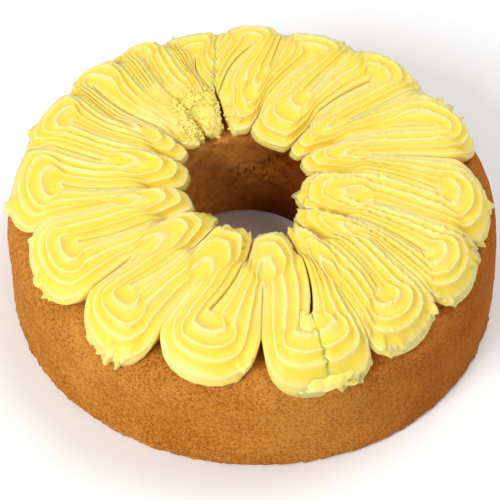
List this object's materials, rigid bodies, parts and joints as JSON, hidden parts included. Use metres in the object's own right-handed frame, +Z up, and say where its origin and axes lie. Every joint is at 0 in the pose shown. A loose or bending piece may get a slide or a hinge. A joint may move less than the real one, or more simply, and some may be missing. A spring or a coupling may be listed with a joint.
{
  "type": "madeira ring cake",
  "caption": "Ring-shaped baked sponge cake with buttercream piped in a ridged zig-zag rope around its top.",
  "frame": {"origin": "centre of the cake's outer base circle, on the surface it stands on", "axes": "+Z up through the hole; -Y towards the side that holds the rope's two ends, +X to its right"},
  "size_m": [0.1826, 0.1827, 0.0549],
  "materials": {
    "sponge": "matte, fine open crumb",
    "buttercream": "satin, slightly waxy"
  },
  "bodies": {
    "root": {"sponge": "sponge", "icing": "buttercream"}
  },
  "joints": []
}
